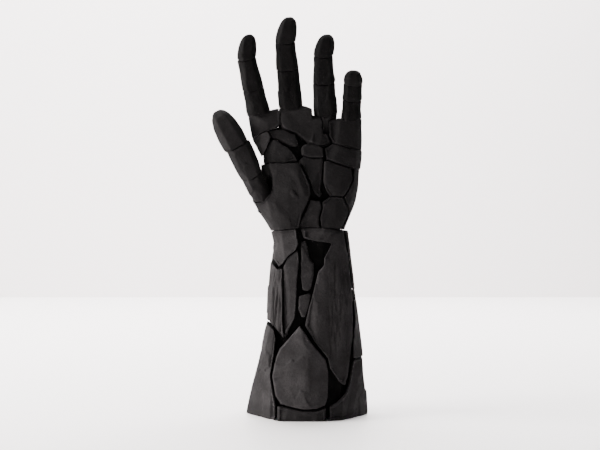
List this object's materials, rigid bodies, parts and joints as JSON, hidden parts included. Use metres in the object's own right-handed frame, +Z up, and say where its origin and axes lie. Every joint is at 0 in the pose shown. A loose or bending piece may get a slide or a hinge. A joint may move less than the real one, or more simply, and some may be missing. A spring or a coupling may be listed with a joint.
{
  "type": "prosthetic hand",
  "caption": "Passive left hand and forearm prosthesis with jointed fingers, turning wrist and dark cracked stone-look shell plates, standing on flared feet.",
  "frame": {"origin": "middle of the bounding box's underside, on the surface that the feet stand on", "axes": "+Z up along the forearm to the fingertips, -Y out of the palm, -X towards the thumb"},
  "size_m": [0.1392, 0.0838, 0.3537],
  "materials": {
    "stone_black": "matte, rough cast with fine grain",
    "core_black": "matte",
    "pin_steel": "satin"
  },
  "bodies": {
    "root": {"inner_socket": "core_black", "wrist_flange": "core_black", "radial_wrist_plate": "stone_black", "long_forearm_plate": "stone_black", "upper_sliver": "stone_black", "lower_sliver": "stone_black", "column_strip": "stone_black", "ribbed_plate": "stone_black", "ulnar_upper_plate": "stone_black", "ulnar_lower_plate": "stone_black", "front_shield": "stone_black", "front_foot": "stone_black", "left_foot": "stone_black", "right_foot": "stone_black", "dorsal_wrist_plate": "stone_black", "dorsal_long_plate": "stone_black", "dorsal_ulnar_shell": "stone_black"},
    "hand": {"wrist_spindle": "pin_steel", "palm_chassis": "core_black", "index_knuckle": "stone_black", "middle_knuckle": "stone_black", "ring_knuckle": "stone_black", "little_knuckle": "stone_black", "index_ray_slab": "stone_black", "web_plate": "stone_black", "web_slab": "stone_black", "thenar_plate": "stone_black", "centre_pebble": "stone_black", "lifeline_blade": "stone_black", "ulnar_band": "stone_black", "hypothenar_plate": "stone_black", "ulnar_edge_strip": "stone_black", "heel_wedge": "stone_black", "pisiform_plate": "stone_black", "dorsal_radial_plate": "stone_black", "dorsal_middle_plate": "stone_black", "dorsal_ulnar_plate": "stone_black", "index_knuckle_pin": "pin_steel", "middle_knuckle_pin": "pin_steel", "ring_knuckle_pin": "pin_steel", "little_knuckle_pin": "pin_steel"},
    "index_proximal": {"index_proximal": "stone_black", "index_middle_pin": "pin_steel"},
    "index_middle": {"index_middle": "stone_black"},
    "index_distal": {"index_distal": "stone_black"},
    "middle_proximal": {"middle_proximal": "stone_black", "middle_middle_pin": "pin_steel"},
    "middle_middle": {"middle_middle": "stone_black"},
    "middle_distal": {"middle_distal": "stone_black"},
    "ring_proximal": {"ring_proximal": "stone_black", "ring_middle_pin": "pin_steel"},
    "ring_middle": {"ring_middle": "stone_black"},
    "ring_distal": {"ring_distal": "stone_black"},
    "little_proximal": {"little_proximal": "stone_black", "little_middle_pin": "pin_steel"},
    "little_middle": {"little_middle": "stone_black"},
    "little_distal": {"little_distal": "stone_black"},
    "thumb_base": {"thumb_base": "stone_black"},
    "thumb_proximal": {"thumb_proximal": "stone_black"},
    "thumb_distal": {"thumb_distal": "stone_black"}
  },
  "joints": [
    {"name": "wrist_rotation", "type": "hinge", "parent": "root", "child": "hand", "pos_m": [0.01879, 0.00316, 0.171], "axis": [0, 0, 1], "range_deg": [-90, 90]},
    {"name": "index_knuckle", "type": "hinge", "parent": "hand", "child": "index_proximal", "pos_m": [-0.02572, -0.00284, 0.25856], "axis": [0.9763, 0, 0.2164], "range_deg": [-11, 72]},
    {"name": "index_middle_joint", "type": "hinge", "parent": "index_proximal", "child": "index_middle", "pos_m": [-0.03076, -0.00406, 0.2813], "axis": [0.9763, 0, 0.2164], "range_deg": [-5, 69]},
    {"name": "index_end_joint", "type": "hinge", "parent": "index_middle", "child": "index_distal", "pos_m": [-0.03691, -0.00805, 0.30906], "axis": [0.9763, 0, 0.2164], "range_deg": [-6, 44]},
    {"name": "middle_knuckle", "type": "hinge", "parent": "hand", "child": "middle_proximal", "pos_m": [0.00155, -0.00284, 0.26379], "axis": [0.9962, 0, 0.0872], "range_deg": [-11, 72]},
    {"name": "middle_middle_joint", "type": "hinge", "parent": "middle_proximal", "child": "middle_middle", "pos_m": [-0.00146, -0.00465, 0.29823], "axis": [0.9962, 0, 0.0872], "range_deg": [-4, 70]},
    {"name": "middle_end_joint", "type": "hinge", "parent": "middle_middle", "child": "middle_distal", "pos_m": [-0.00366, -0.00775, 0.32336], "axis": [0.9962, 0, 0.0872], "range_deg": [-5, 45]},
    {"name": "ring_knuckle", "type": "hinge", "parent": "hand", "child": "ring_proximal", "pos_m": [0.03227, -0.00284, 0.25657], "axis": [0.999, 0, 0.0436], "range_deg": [-11, 72]},
    {"name": "ring_middle_joint", "type": "hinge", "parent": "ring_proximal", "child": "ring_middle", "pos_m": [0.03097, -0.0044, 0.28641], "axis": [0.999, 0, 0.0436], "range_deg": [-5, 69]},
    {"name": "ring_end_joint", "type": "hinge", "parent": "ring_middle", "child": "ring_distal", "pos_m": [0.02986, -0.00796, 0.31166], "axis": [0.999, 0, 0.0436], "range_deg": [-6, 44]},
    {"name": "little_knuckle", "type": "hinge", "parent": "hand", "child": "little_proximal", "pos_m": [0.05454, -0.00334, 0.25457], "axis": [0.9994, 0, -0.0349], "range_deg": [-11, 72]},
    {"name": "little_middle_joint", "type": "hinge", "parent": "little_proximal", "child": "little_middle", "pos_m": [0.05517, -0.00428, 0.27262], "axis": [0.9994, 0, -0.0349], "range_deg": [-6, 68]},
    {"name": "little_end_joint", "type": "hinge", "parent": "little_middle", "child": "little_distal", "pos_m": [0.05572, -0.00676, 0.28826], "axis": [0.9994, 0, -0.0349], "range_deg": [-14, 36]},
    {"name": "thumb_swivel", "type": "hinge", "parent": "hand", "child": "thumb_base", "pos_m": [-0.02421, -0.00684, 0.1899], "axis": [0, 0, -1], "range_deg": [-60, 0]},
    {"name": "thumb_knuckle", "type": "hinge", "parent": "thumb_base", "child": "thumb_proximal", "pos_m": [-0.03052, -0.00884, 0.20418], "axis": [0.8982, 0.0349, 0.4381], "range_deg": [-5, 40]},
    {"name": "thumb_end_joint", "type": "hinge", "parent": "thumb_proximal", "child": "thumb_distal", "pos_m": [-0.04365, -0.00884, 0.2311], "axis": [0.8982, 0.0349, 0.4381], "range_deg": [-5, 45]}
  ]
}
